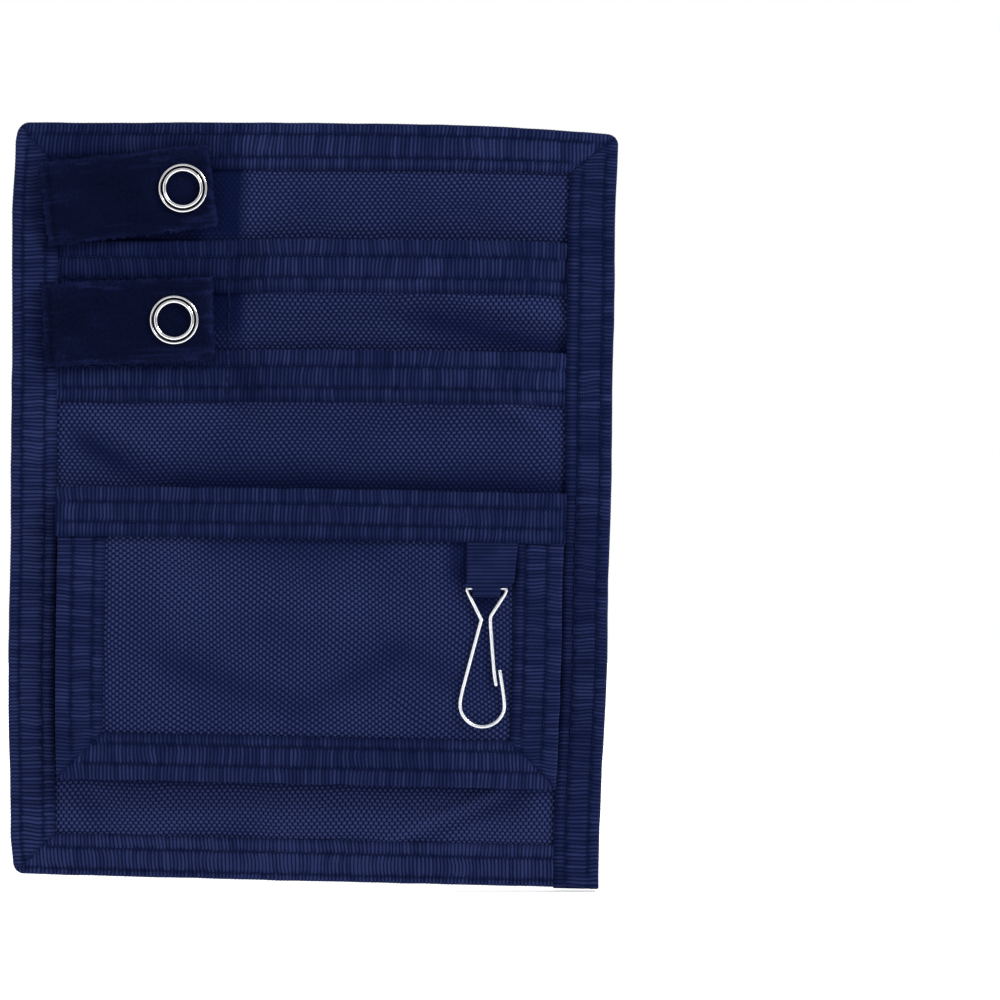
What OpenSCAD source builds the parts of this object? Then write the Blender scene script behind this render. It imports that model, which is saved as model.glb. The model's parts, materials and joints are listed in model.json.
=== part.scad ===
// Belt-worn organiser pouch: bound fabric panels, three mouth pockets, two snap-down tool
// straps, a key hook on a tape tab and a belt loop with a touch-fastener closure.
// Millimetres, +Z up, the pouch faces -Y. The origin is the middle of the belt channel.

/* [Pouch] */
// Width of the bound pouch
pouch_w = 140; // [120:1:170]
// Height of the bound pouch
pouch_h = 178; // [170:1:200]
// Radius of the three rounded corners
corner_r = 2.6; // [2:0.2:4]
// Width that the folded binding tape shows on each face
binding_w = 11; // [9:0.5:13]
// Width that the bottom binding shows, where the seam takes up more of the tape
bottom_binding_w = 9.4; // [8:0.2:11]
// Thickness of the panel fabric
fabric_t = 0.6; // [0.5:0.1:0.8]
// Thickness of the grosgrain binding tape
tape_t = 0.6; // [0.5:0.1:0.8]

/* [Pockets] */
// Drop from the pouch's top edge to the upper pocket's mouth
upper_drop = 28; // [26:1:32]
// Drop from the pouch's top edge to the middle pocket's mouth
middle_drop = 53.2; // [51:0.2:58]
// Drop from the pouch's top edge to the framed pocket's mouth
framed_drop = 85.4; // [83:0.2:90]
// Drop from the pouch's top edge to the framed pocket's lower edge
framed_low_drop = 156; // [148:0.5:160]
// Distance from the pouch's left edge to the seam that divides the two upper pockets
divider_x = 50.2; // [45:0.2:55]
// Clear depth of the two gaping mouths
mouth_gap = 4.3; // [4.2:0.1:5]
// Height of the tape along each pocket mouth
mouth_tape_h = 11.6; // [10:0.2:13]
// Clear depth between the framed pocket's front and the panel behind it
framed_gap = 5; // [4.8:0.1:7]

/* [Tool straps] */
// Width of each tool strap
tool_strap_w = 19.6; // [16:0.2:22]
// Length of each tool strap from its seam
tool_strap_l = 39.7; // [38:0.1:44]
// Thickness of each tool strap
tool_strap_t = 1.2; // [0.8:0.1:1.6]
// Outer diameter of the snaps' open rings
snap_d = 11.3; // [10:0.1:12.5]

/* [Key hook] */
// Diameter of the hook's wire
wire_d = 0.9; // [0.8:0.1:1.1]
// Length of the tape tab that holds the hook
tab_l = 11.6; // [10:0.2:14]

/* [Belt loop] */
// Width of the belt loop's strap
belt_strap_w = 40; // [30:1:50]
// Length of the belt loop from its top fold to its bottom fold
belt_strap_l = 71; // [68:1:76]
// Tallest belt that the channel takes
belt_h = 38; // [32:1:40]
// Clear depth of the belt channel
channel_depth = 5.4; // [4.5:0.1:7]

/* [Hidden] */

// The smooth circles, and the round children of hulls
$fn = 48;
hull_fn = 24;
eps = 0.01;

// Heights, counted from the belt channel's middle
top_z = 42;
bottom_z = top_z - pouch_h;
inner_top_z = top_z - binding_w;
inner_bottom_z = bottom_z + bottom_binding_w;
upper_mouth_z = top_z - upper_drop;
middle_mouth_z = top_z - middle_drop;
framed_mouth_z = top_z - framed_drop;
framed_low_z = top_z - framed_low_drop;

// Widths
left_x = -pouch_w / 2;
right_x = pouch_w / 2;
inner_left_x = left_x + binding_w;
inner_right_x = right_x - binding_w;
seam_x = left_x + divider_x;

// Depths of the layers, counted forwards from the rear panel's rear face
slit = 0.4;
base_d = fabric_t + slit;
base_front_d = base_d + fabric_t;
upper_d = base_front_d + slit;
upper_front_d = upper_d + fabric_t;
middle_d = upper_front_d + slit;
middle_front_d = middle_d + fabric_t;
edge_front_d = middle_front_d + tape_t;
framed_d = middle_front_d + framed_gap;
framed_front_d = framed_d + fabric_t;
rear_y = -channel_depth / 2;

// Framed pocket
framed_left_x = left_x + 12;
framed_right_x = right_x - 10.9;
framed_tape_w = 11.2;
gusset_inset = 2.2;

// Snaps: the place of each one and the tilt of its strap
snap_from_left = [40.4, 38.5];
snap_from_top = [15.9, 46.4];
strap_tilt = [6.6, 2.2];
stud_face_d = [base_front_d, upper_front_d];
strap_lift = 2.8;
strap_back_d = [for (d = stud_face_d) d + strap_lift];
strap_seam_x = left_x + 7.9;
snap_x = [for (x = snap_from_left) left_x + x];
snap_z = [for (z = snap_from_top) top_z - z];
stud_r = 1.75;
stud_flange_r = 4.6;
stud_flange_t = 0.5;
snap_clearance = 0.2;
socket_h = 1.9;

// Key hook: the wire hangs from a bar inside the tab's fold
wire_r = wire_d / 2;
hook_bar_z = framed_mouth_z - mouth_tape_h - tab_l;
hook_d = framed_front_d + 1.3;
hook_x = right_x - 30;
hook_drop = 31.8;
bow_r = 5.4;
bow_z = bow_r - hook_drop;
neck_z = -6;
gate_gap = 0.3;
tab_top_w = 11.4;
tab_low_w = 7;
tab_t = 0.5;
fold_r = 0.8;

// Belt loop
belt_hinge_z = inner_top_z - 2.8;
belt_low_z = inner_top_z - belt_strap_l;
strap_t = 1;
patch_t = 1;
patch_gap = 0.3;
channel_y = channel_depth / 2;
channel_low_z = -belt_h / 2 - 1;
tail_y = rear_y + 2 * patch_t + patch_gap + strap_t / 2;
fold_rise = 3;

// A flat layer cut to the outline of its 2D children, with its back at depth d.
module layer(d, t) {
    translate([0, rear_y - d, 0]) rotate([90, 0, 0]) linear_extrude(t) children();
}

module area(x0, x1, z0, z1) {
    translate([x0, z0]) square([x1 - x0, z1 - z0]);
}

// The pouch's outline with three rounded corners and a square bottom right one.
module outline(inset = 0) {
    x0 = left_x + inset;
    x1 = right_x - inset;
    z0 = bottom_z + inset;
    z1 = top_z - inset;
    r = corner_r;
    area(x0 + r, x1 - r, z0, z1);
    area(x0, x1, z0 + r, z1 - r);
    area(x1 - r - eps, x1, z0, z0 + r + eps);
    for (p = [[x0 + r, z0 + r], [x0 + r, z1 - r], [x1 - r, z1 - r]]) translate(p) circle(r);
}

// A frustum that a gaping mouth follows: flat in its upper part, sloping at its foot and sides.
module gape(mouth_z, d, depth, inset, over) {
    side_run = 9;
    full_h = 9;
    foot_run = 10.5;
    x0 = seam_x + 0.6 + inset;
    x1 = inner_right_x - inset;
    z0 = mouth_z - full_h - foot_run + inset;
    hull() {
        layer(d, eps) area(x0, x1, z0, mouth_z + over);
        layer(d + depth, eps) area(x0 + side_run, x1 - side_run, z0 + foot_run, mouth_z + over);
    }
}

// How far a sheet at depth d stands off its own plane, so that its mouth stays clear.
function gape_depth() = mouth_gap + tape_t - slit;

// A pocket sheet: a flat layer that gapes at its mouth on the wide side.
module pocket_sheet(mouth_z, d) {
    depth = gape_depth();
    difference() {
        union() {
            layer(d, fabric_t) intersection() {
                outline(tape_t);
                area(left_x, right_x, bottom_z, mouth_z);
            }
            gape(mouth_z, d, depth + fabric_t, 0, 0);
        }
        gape(mouth_z, d - eps, depth, fabric_t, 1);
    }
}

// The tape folded over a sheet's mouth, along the narrow pocket and the gaping wide one.
module mouth_binding(mouth_z, d) {
    depth = gape_depth();
    low_z = mouth_z - mouth_tape_h;
    difference() {
        union() {
            layer(d + fabric_t, tape_t) area(inner_left_x, seam_x, low_z, mouth_z);
            layer(d, fabric_t + tape_t) area(inner_left_x, seam_x, mouth_z, mouth_z + tape_t);
            intersection() {
                gape(mouth_z, d, depth + fabric_t + tape_t, -tape_t, tape_t);
                layer(d + fabric_t, 20) area(seam_x + 1.2, inner_right_x, low_z, mouth_z + tape_t);
            }
        }
        gape(mouth_z, d, depth + fabric_t, 0, 0);
        gape(mouth_z, d - eps, depth, fabric_t, 1);
    }
    intersection() {
        difference() {
            gape(mouth_z, d - eps, depth, fabric_t, tape_t);
            gape(mouth_z, d - eps, depth - tape_t, fabric_t + tape_t, 1);
        }
        layer(d + fabric_t + tape_t, 20) area(seam_x + 1.2, inner_right_x, low_z, mouth_z + tape_t);
    }
}

module rear_panel() color("midnightblue") layer(0, fabric_t) outline(tape_t);

module front_base_panel() color("midnightblue") layer(base_d, fabric_t) outline(tape_t);

module upper_pocket_panel() color("midnightblue") pocket_sheet(upper_mouth_z, upper_d);

module middle_pocket_panel() color("midnightblue") pocket_sheet(middle_mouth_z, middle_d);

module upper_pocket_binding() color("darkslateblue") mouth_binding(upper_mouth_z, upper_d);

module middle_pocket_binding() color("darkslateblue") mouth_binding(middle_mouth_z, middle_d);

// The rib of thread that closes the narrow pockets off from the wide ones.
module pocket_divider_seam() color("black") {
    rib_w = 0.5;
    for (run = [[middle_mouth_z + tape_t, upper_mouth_z, upper_front_d],
                [framed_mouth_z + tape_t, middle_mouth_z, middle_front_d]])
        layer(run[2], 0.3) area(seam_x + 0.05, seam_x + 0.05 + rib_w, run[0], run[1]);
}

// The tape folded round the pouch's edge, cut to one side by its 2D children.
module edge_tape(front_d) {
    intersection() {
        union() {
            layer(-tape_t, tape_t) difference() {
                outline();
                area(inner_left_x, inner_right_x, inner_bottom_z, inner_top_z);
            }
            layer(-eps, front_d - tape_t + 2 * eps) difference() {
                outline();
                outline(tape_t);
            }
            layer(front_d - tape_t, tape_t) difference() {
                outline();
                area(inner_left_x, inner_right_x, inner_bottom_z, inner_top_z);
            }
        }
        layer(-2, 12) children();
    }
}

// The top tape lies over the base panel alone, so it is flatter than the others.
module edge_binding_top() color("darkslateblue")
    edge_tape(base_front_d + tape_t)
        polygon([[left_x, top_z], [right_x, top_z],
                 [inner_right_x, inner_top_z], [inner_left_x, inner_top_z]]);

module edge_binding_left() color("darkslateblue")
    edge_tape(edge_front_d)
        polygon([[left_x, top_z], [inner_left_x, inner_top_z],
                 [inner_left_x, inner_bottom_z], [left_x, bottom_z]]);

// The right tape runs on to the lower edge and covers the bottom tape's end.
module edge_binding_right() color("darkslateblue")
    edge_tape(edge_front_d)
        polygon([[right_x, top_z], [inner_right_x, inner_top_z],
                 [inner_right_x, bottom_z], [right_x, bottom_z]]);

module edge_binding_bottom() color("darkslateblue")
    edge_tape(edge_front_d)
        polygon([[left_x, bottom_z], [inner_left_x, inner_bottom_z],
                 [inner_right_x, inner_bottom_z], [inner_right_x, bottom_z]]);

module framed_pocket_panel() color("midnightblue")
    layer(framed_d, fabric_t)
        area(framed_left_x + tape_t, framed_right_x - tape_t, framed_low_z + tape_t, framed_mouth_z);

// The strip that stands the framed pocket off the panel, open at the mouth.
module framed_pocket_gusset() color("midnightblue") {
    x0 = framed_left_x + gusset_inset;
    x1 = framed_right_x - gusset_inset;
    z0 = framed_low_z + gusset_inset;
    z1 = framed_mouth_z - mouth_tape_h;
    layer(middle_front_d, framed_gap - tape_t) difference() {
        area(x0, x1, z0, z1);
        area(x0 + fabric_t, x1 - fabric_t, z0 + fabric_t, z1 + 1);
    }
}

// The mouth tape runs a little past the framed pocket's sides.
module framed_pocket_mouth_binding() color("darkslateblue") {
    x0 = framed_left_x - 0.3;
    x1 = framed_right_x + 0.3;
    low_z = framed_mouth_z - mouth_tape_h;
    layer(framed_d - tape_t, tape_t) area(x0, x1, low_z, framed_mouth_z + tape_t);
    layer(framed_d - eps, fabric_t + 2 * eps) area(x0, x1, framed_mouth_z, framed_mouth_z + tape_t);
    layer(framed_front_d, tape_t) area(x0, x1, low_z, framed_mouth_z + tape_t);
}

// The tape folded round the framed pocket's outer edge, cut to one side by its 2D children.
module framed_tape() {
    z1 = framed_mouth_z - mouth_tape_h;
    intersection() {
        difference() {
            layer(framed_d - tape_t, fabric_t + 2 * tape_t)
                area(framed_left_x, framed_right_x, framed_low_z, z1);
            layer(framed_d, fabric_t)
                area(framed_left_x + tape_t, framed_right_x - tape_t, framed_low_z + tape_t, z1 + 1);
            layer(0, 20)
                area(framed_left_x + framed_tape_w, framed_right_x - framed_tape_w,
                     framed_low_z + framed_tape_w, z1 + 1);
        }
        layer(0, 20) children();
    }
}

module framed_pocket_left_binding() color("darkslateblue") framed_tape()
    polygon([[framed_left_x, framed_low_z], [framed_left_x + framed_tape_w, framed_low_z + framed_tape_w],
             [framed_left_x + framed_tape_w, framed_mouth_z], [framed_left_x, framed_mouth_z]]);

module framed_pocket_right_binding() color("darkslateblue") framed_tape()
    polygon([[framed_right_x, framed_low_z], [framed_right_x - framed_tape_w, framed_low_z + framed_tape_w],
             [framed_right_x - framed_tape_w, framed_mouth_z], [framed_right_x, framed_mouth_z]]);

module framed_pocket_bottom_binding() color("darkslateblue") framed_tape()
    polygon([[framed_left_x, framed_low_z], [framed_right_x, framed_low_z],
             [framed_right_x - framed_tape_w, framed_low_z + framed_tape_w],
             [framed_left_x + framed_tape_w, framed_low_z + framed_tape_w]]);

// A tapered tape folded round the hook's bar, with both ends sewn under the mouth tape.
module hook_tab() color("darkslateblue") {
    tab_x = hook_x + 1.2;
    tab_z = hook_bar_z + tab_l;
    bar_x = hook_x + 0.2;
    out_r = fold_r + tab_t;
    intersection() {
        translate([tab_x - tab_top_w, 0, 0]) rotate([90, 0, 90]) linear_extrude(2 * tab_top_w)
            difference() {
                hull() {
                    translate([rear_y - hook_d, hook_bar_z]) circle(out_r, $fn = hull_fn);
                    translate([rear_y - framed_front_d - 2 * tab_t, tab_z - 1]) square([2 * tab_t, 1]);
                }
                hull() {
                    translate([rear_y - hook_d, hook_bar_z]) circle(fold_r, $fn = hull_fn);
                    translate([rear_y - framed_front_d - tab_t, tab_z - 3]) circle(0.1, $fn = hull_fn);
                }
            }
        layer(0, 20) polygon([
            [tab_x - tab_top_w / 2, tab_z], [tab_x + tab_top_w / 2, tab_z],
            [bar_x + tab_low_w / 2, hook_bar_z], [bar_x + tab_low_w / 2, hook_bar_z - 2],
            [bar_x - tab_low_w / 2, hook_bar_z - 2], [bar_x - tab_low_w / 2, hook_bar_z]]);
    }
}

// Unit direction of a path of [x, z] points at point i.
function heading(points, i) =
    let (a = points[max(i - 1, 0)], b = points[min(i + 1, len(points) - 1)]) (b - a) / norm(b - a);

// A bent wire through points given as [x from the hook's middle, z from its bar].
module bent_wire(points) {
    sides = 12;
    ends = len(points) - 1;
    rings = [for (i = [0:ends]) let (h = heading(points, i)) for (k = [0:sides - 1])
        let (a = 360 * k / sides, out = wire_r * cos(a))
            [points[i][0] - h[1] * out, wire_r * sin(a), points[i][1] + h[0] * out]];
    walls = [for (i = [0:ends - 1]) for (k = [0:sides - 1])
        let (n = (k + 1) % sides) [i * sides + k, i * sides + n, (i + 1) * sides + n, (i + 1) * sides + k]];
    first_cap = [for (k = [sides - 1:-1:0]) k];
    last_cap = [for (k = [0:sides - 1]) ends * sides + k];
    translate([hook_x, rear_y - hook_d, hook_bar_z])
        polyhedron(rings, concat([first_cap], walls, [last_cap]), convexity = 6);
}

function bow(cx, cz, r, from, to, steps) =
    [for (i = [0:steps]) let (a = from + (to - from) * i / steps) [cx + r * cos(a), cz + r * sin(a)]];

// The fixed side: a short neck, the bar in the tab, the long left side and the round hook.
module key_hook_wire() color("silver")
    bent_wire(concat(
        [[1.4, neck_z - 0.6], [1.5, neck_z], [2, neck_z + 0.9], [4.5, -1.6]],
        bow(4.1, -0.6, 0.6, 0, 90, 3),
        bow(-3.7, -0.6, 0.6, 90, 180, 3),
        [[-0.9, neck_z - 0.2], [-0.7, neck_z - 0.9], [-1, neck_z - 1.8], [-4.6, bow_z + 5.6], [-5.4, bow_z + 2.4]],
        bow(-0.45, bow_z, bow_r, 172, 350, 14),
        [[4.8, bow_z + 1.4], [3.9, bow_z + 7.4]]));

// The springy side, which closes against the inside of the hook's end.
module key_hook_gate() color("silver")
    bent_wire([[1.4, neck_z - 0.6 - gate_gap], [1.5, neck_z - 3], [2, bow_z + 8], [2.3, bow_z + 4.6]]);

// A snap's stud: a flange on the fabric, a post and a rounded head.
module stud() {
    cylinder(h = stud_flange_t, r = stud_flange_r);
    cylinder(h = strap_lift - 0.1, r = stud_r);
}

module snap_studs() color("silver")
    for (i = [0, 1])
        translate([snap_x[i], rear_y - stud_face_d[i], snap_z[i]]) rotate([90, 0, 0]) stud();

// The rings that clinch the studs from behind their fabric.
module snap_stud_rings() color("silver")
    for (i = [0, 1])
        translate([snap_x[i], rear_y - stud_face_d[i] + fabric_t, snap_z[i]]) rotate([-90, 0, 0])
            difference() {
                cylinder(h = slit - 0.1, r = stud_flange_r);
                translate([0, 0, -1]) cylinder(h = 3, r = 2.8);
            }

// Places a strap's own parts: x runs along the strap from its snap, depth from its back.
module on_strap(i) {
    translate([snap_x[i], rear_y - strap_back_d[i], snap_z[i]]) rotate([0, -strap_tilt[i], 0])
        rotate([90, 0, 0]) children();
}

module tool_strap(i) {
    snap_run = (snap_x[i] - strap_seam_x) / cos(strap_tilt[i]);
    on_strap(i) difference() {
        translate([-snap_run, -tool_strap_w / 2, 0]) cube([tool_strap_l, tool_strap_w, tool_strap_t]);
        translate([0, 0, -1]) cylinder(h = 1.5, r = stud_r + 2 * snap_clearance);
    }
}

// The open prong ring: an outer bead, a groove and a wider inner bead.
module snap_ring(i) {
    outer_r = snap_d / 2;
    inner_r = outer_r - 1.8;
    on_strap(i) translate([0, 0, tool_strap_t]) {
        difference() {
            cylinder(h = 0.35, r = outer_r - 0.3);
            translate([0, 0, -1]) cylinder(h = 3, r = inner_r + 0.3);
        }
        for (bead = [[outer_r - 0.32, 0.32], [inner_r + 0.45, 0.45]])
            rotate_extrude() translate([bead[0], 0.35]) intersection() {
                circle(bead[1], $fn = 24);
                translate([-1, -0.35]) square([2, 1]);
            }
    }
}

// The socket behind the strap, which holds the stud's post in its bore.
module snap_socket(i) {
    on_strap(i) translate([0, 0, -socket_h]) difference() {
        cylinder(h = socket_h, r = stud_flange_r);
        translate([0, 0, -1]) cylinder(h = socket_h + 2, r = stud_r + snap_clearance);
    }
}

module upper_tool_strap() color("#0b102a") tool_strap(0);
module upper_snap_ring() color("silver") snap_ring(0);
module upper_snap_socket() color("silver") snap_socket(0);
module lower_tool_strap() color("#0b102a") tool_strap(1);
module lower_snap_ring() color("silver") snap_ring(1);
module lower_snap_socket() color("silver") snap_socket(1);

// Unit normal of a path of [y, z] points at point i.
function side_of(points, i) = let (h = heading(points, i)) [-h[1], h[0]];

// The outline of a ribbon of thickness t whose middle runs through the points.
function ribbon(points, t) = concat(
    [for (i = [0:len(points) - 1]) points[i] + side_of(points, i) * t / 2],
    [for (i = [len(points) - 1:-1:0]) points[i] - side_of(points, i) * t / 2]);

// A [y, z] outline extruded across a width.
module across(outline_points, width) {
    translate([-width / 2, 0, 0]) rotate([90, 0, 90]) linear_extrude(width) polygon(outline_points);
}

// The belt strap bows over the channel and turns up at its lower end.
module belt_strap() color("darkslateblue") {
    out_y = channel_y + strap_t / 2;
    fold_half = 0.8;
    across(ribbon(concat(
        [[rear_y + tape_t + 0.8, belt_hinge_z], [out_y - 0.4, belt_h / 2 + 3], [out_y, belt_h / 2 + 1],
         [out_y, channel_low_z], [out_y - 0.2, channel_low_z - 3],
         [tail_y + 2 * fold_half + 0.2, belt_low_z + fold_rise + 2]],
        bow(tail_y + fold_half, belt_low_z + fold_half + strap_t / 2, fold_half, 0, -180, 6),
        [[tail_y, belt_low_z + fold_rise], [tail_y, channel_low_z]]), strap_t), belt_strap_w);
}

// The strap's upper end, sewn flat to the rear panel.
module belt_strap_sewn_end() color("darkslateblue")
    across([[rear_y, belt_hinge_z + 0.8], [rear_y + strap_t, belt_hinge_z + 0.8],
            [rear_y + strap_t, inner_top_z], [rear_y, inner_top_z]], belt_strap_w);

// The two halves of the touch fastener share a place, one behind the other.
module fastener_patch(y0) {
    across([[y0, belt_low_z + fold_rise], [y0 + patch_t, belt_low_z + fold_rise],
            [y0 + patch_t, channel_low_z], [y0, channel_low_z]], belt_strap_w - 4);
}

module belt_hook_patch() color("#0b102a") fastener_patch(rear_y);

module belt_strap_loop_patch() color("#0b102a") fastener_patch(rear_y + patch_t + patch_gap);

rear_panel();
front_base_panel();
upper_pocket_panel();
middle_pocket_panel();
upper_pocket_binding();
middle_pocket_binding();
pocket_divider_seam();
edge_binding_top();
edge_binding_left();
edge_binding_right();
edge_binding_bottom();
framed_pocket_panel();
framed_pocket_gusset();
framed_pocket_mouth_binding();
framed_pocket_left_binding();
framed_pocket_right_binding();
framed_pocket_bottom_binding();
hook_tab();
key_hook_wire();
key_hook_gate();
snap_studs();
snap_stud_rings();
upper_tool_strap();
upper_snap_ring();
upper_snap_socket();
lower_tool_strap();
lower_snap_ring();
lower_snap_socket();
belt_strap();
belt_strap_sewn_end();
belt_strap_loop_patch();
belt_hook_patch();
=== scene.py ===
import json
import math

import bmesh
import bpy
import numpy as np
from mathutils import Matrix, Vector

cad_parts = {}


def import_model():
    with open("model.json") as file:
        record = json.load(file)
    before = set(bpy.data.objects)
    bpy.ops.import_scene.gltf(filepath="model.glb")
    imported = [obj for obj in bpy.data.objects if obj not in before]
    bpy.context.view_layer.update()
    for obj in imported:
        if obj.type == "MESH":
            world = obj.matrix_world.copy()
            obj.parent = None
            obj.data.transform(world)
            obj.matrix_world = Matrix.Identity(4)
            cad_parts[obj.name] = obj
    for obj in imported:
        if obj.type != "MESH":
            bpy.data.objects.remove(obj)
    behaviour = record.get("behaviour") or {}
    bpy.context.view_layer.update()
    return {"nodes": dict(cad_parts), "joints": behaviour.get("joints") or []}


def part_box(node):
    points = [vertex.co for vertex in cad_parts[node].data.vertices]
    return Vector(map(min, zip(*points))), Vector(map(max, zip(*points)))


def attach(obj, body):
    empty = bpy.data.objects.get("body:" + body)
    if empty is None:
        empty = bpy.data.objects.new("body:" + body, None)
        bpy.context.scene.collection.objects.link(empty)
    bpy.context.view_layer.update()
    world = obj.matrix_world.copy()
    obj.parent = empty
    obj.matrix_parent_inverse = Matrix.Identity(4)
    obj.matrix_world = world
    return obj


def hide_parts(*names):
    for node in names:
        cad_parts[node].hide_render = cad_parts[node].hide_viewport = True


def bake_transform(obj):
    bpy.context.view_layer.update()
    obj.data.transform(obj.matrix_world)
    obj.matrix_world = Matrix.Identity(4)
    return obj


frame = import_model()

MM = 0.001


# ---------------- places, in millimetres

def low(node):
    return np.array(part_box(node)[0]) / MM


def high(node):
    return np.array(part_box(node)[1]) / MM


LEFT = low("edge_binding_left")[0]
RIGHT = high("edge_binding_right")[0]
TOP = high("edge_binding_top")[2]
BOTTOM = low("edge_binding_bottom")[2]
REAR = high("rear_panel")[1]
EDGE_W = high("edge_binding_left")[0] - LEFT
LOW_EDGE_W = high("edge_binding_bottom")[2] - BOTTOM
INNER_LEFT = LEFT + EDGE_W
INNER_RIGHT = RIGHT - EDGE_W
INNER_TOP = TOP - EDGE_W
SEAM = high("pocket_divider_seam")[0]

FABRIC = 0.6
TAPE = 0.6
SLIT = REAR - high("front_base_panel")[1] - FABRIC
BASE_D = FABRIC + SLIT
UPPER_D = BASE_D + FABRIC + SLIT
MIDDLE_D = UPPER_D + FABRIC + SLIT
EDGE_FRONT_D = MIDDLE_D + FABRIC + TAPE
GAPE = REAR - low("upper_pocket_panel")[1] - UPPER_D - FABRIC
FRAMED_D = REAR - high("framed_pocket_panel")[1]
FRAMED_FRONT_D = FRAMED_D + FABRIC

UPPER_MOUTH = high("upper_pocket_panel")[2]
MIDDLE_MOUTH = high("middle_pocket_panel")[2]
FRAMED_MOUTH = high("framed_pocket_panel")[2]
FRAMED_LEFT = low("framed_pocket_left_binding")[0]
FRAMED_RIGHT = high("framed_pocket_right_binding")[0]
FRAMED_LOW = low("framed_pocket_bottom_binding")[2]
FRAMED_TAPE_W = high("framed_pocket_left_binding")[0] - FRAMED_LEFT
MOUTH_TAPE_H = UPPER_MOUTH + TAPE - low("upper_pocket_binding")[2]
CORNER_R = 2.6
STITCH_PITCH = 3.5
ROW_SHIFT = 0.37  # of a stitch, from each row to the next
RIB_PITCH = 0.88
HOOK_PITCH = (1.1, 1.3)  # across and up, on the touch fastener


def smooth(t):
    t = np.clip(t, 0, 1)
    return t * t * (3 - 2 * t)


def between(a, b, share):
    return a + (b - a) * share


def ease(t, points):
    """A smooth curve through a few (place, value) points, with level ends."""
    places = [p[0] for p in points]
    values = [p[1] for p in points]
    t = np.clip(t, places[0], places[-1])
    i = np.clip(np.searchsorted(places, t, side="right") - 1, 0, len(points) - 2)
    a = np.take(places, i)
    b = np.take(places, i + 1)
    return between(np.take(values, i), np.take(values, i + 1), smooth((t - a) / (b - a)))


def joint(name):
    return next(j for j in frame["joints"] if j["name"] == name)


def pivot(name):
    """Where a joint turns, in millimetres."""
    return np.array(joint(name)["pos_m"]) / MM


# How far the sewn outline strays from a true rectangle: (share of the height, millimetres).
LEFT_EDGE = [(0, 0.6), (0.06, -0.1), (0.25, -0.6), (0.5, 0), (0.75, 0.3), (0.88, 0.1), (0.97, 0.8), (1, 1.6)]
RIGHT_EDGE = [(0, -3.4), (0.35, -1.3), (0.6, -0.3), (0.85, 0.4), (1, 1.2)]
LEFT_SAG = [(0, 3.4), (0.14, 4.5), (0.52, 0.1), (0.7, -0.5), (0.84, -0.2), (1, 0)]
RIGHT_SAG = [(0, 0), (0.14, 1.5), (0.52, -2), (0.7, -1.5), (0.84, -1.2), (0.94, -1.5), (1, -3)]


def sewn(x, z):
    """Moves points of the true rectangle to the outline as it was sewn, with round corners."""
    x = np.array(x, float)
    z = np.array(z, float)
    corners = [(LEFT, TOP, 1, -1), (RIGHT, TOP, -1, -1), (LEFT, BOTTOM, 1, 1)]
    for corner_x, corner_z, inx, inz in corners:
        centre_x = corner_x + inx * CORNER_R
        centre_z = corner_z + inz * CORNER_R
        dx = (centre_x - x) * inx
        dz = (centre_z - z) * inz
        inside = (dx > 0) & (dz > 0)
        share = np.where(inside, np.maximum(dx, dz) / np.maximum(np.hypot(dx, dz), 1e-9), 1)
        x = np.where(inside, centre_x - inx * dx * share, x)
        z = np.where(inside, centre_z - inz * dz * share, z)
    u = (x - LEFT) / (RIGHT - LEFT)
    h = (z - BOTTOM) / (TOP - BOTTOM)
    dx = (1 - u) * ease(h, LEFT_EDGE) + u * ease(h, RIGHT_EDGE)
    run = np.clip(u, 0, 1) ** (0.9 + 4 * np.clip(h, 0, 1) ** 2)
    dz = (1 - run) * np.interp(h, *zip(*LEFT_SAG)) + run * np.interp(h, *zip(*RIGHT_SAG))
    return x + dx, z + dz


def metres(x, y, z):
    """World points for places in millimetres."""
    return np.stack(np.broadcast_arrays(x, y, z), axis=-1) * MM


def in_world(x, z, d):
    """World points for layer places: across, up and depth in front of the rear face."""
    x, z = sewn(x, z)
    return metres(x, REAR - d, z)


def grid(x0, x1, nx, z0, z1, nz):
    return np.meshgrid(np.linspace(x0, x1, nx), np.linspace(z0, z1, nz), indexing="ij")


def lattice_noise(x, z, size, seed):
    """Smooth noise from -1 to 1 over cells of the given size."""
    values = np.random.default_rng(seed).uniform(-1, 1, (64, 64))
    gx = np.asarray(x, float) / size + 31.3
    gz = np.asarray(z, float) / size + 27.7
    ix = np.floor(gx).astype(int)
    iz = np.floor(gz).astype(int)
    fx = smooth(gx - ix)
    fz = smooth(gz - iz)

    def corner(i, j):
        return values[(ix + i) % 64, (iz + j) % 64]

    near = between(corner(0, 0), corner(1, 0), fx)
    far = between(corner(0, 1), corner(1, 1), fx)
    return between(near, far, fz)


def gaping(x, z, mouth):
    """Share of the full gape at a place on a sheet whose mouth is at the given height."""
    side = smooth((x - SEAM) / 11) * smooth((INNER_RIGHT - x) / 11)
    return side * smooth((z - mouth + 19.5) / 11.5)


def near_straps(x, z):
    """1 where painted shade darkens the cloth and tapes beside and behind the velour straps, fading to 0
    around them.
    """
    across = smooth((SEAM + 4.5 - x) / 3) * smooth((x - LEFT - 1) / 5)
    upper = smooth((TOP - 4 - z) / 5) * smooth((z - UPPER_MOUTH + 1) / 4)
    lower = smooth((UPPER_MOUTH - 6 - z) / 5) * smooth((z - MIDDLE_MOUTH - 2) / 6)
    return across * (0.55 + 0.45 * np.maximum(upper, lower)) * smooth((z - MIDDLE_MOUTH + 9) / 8)


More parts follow.
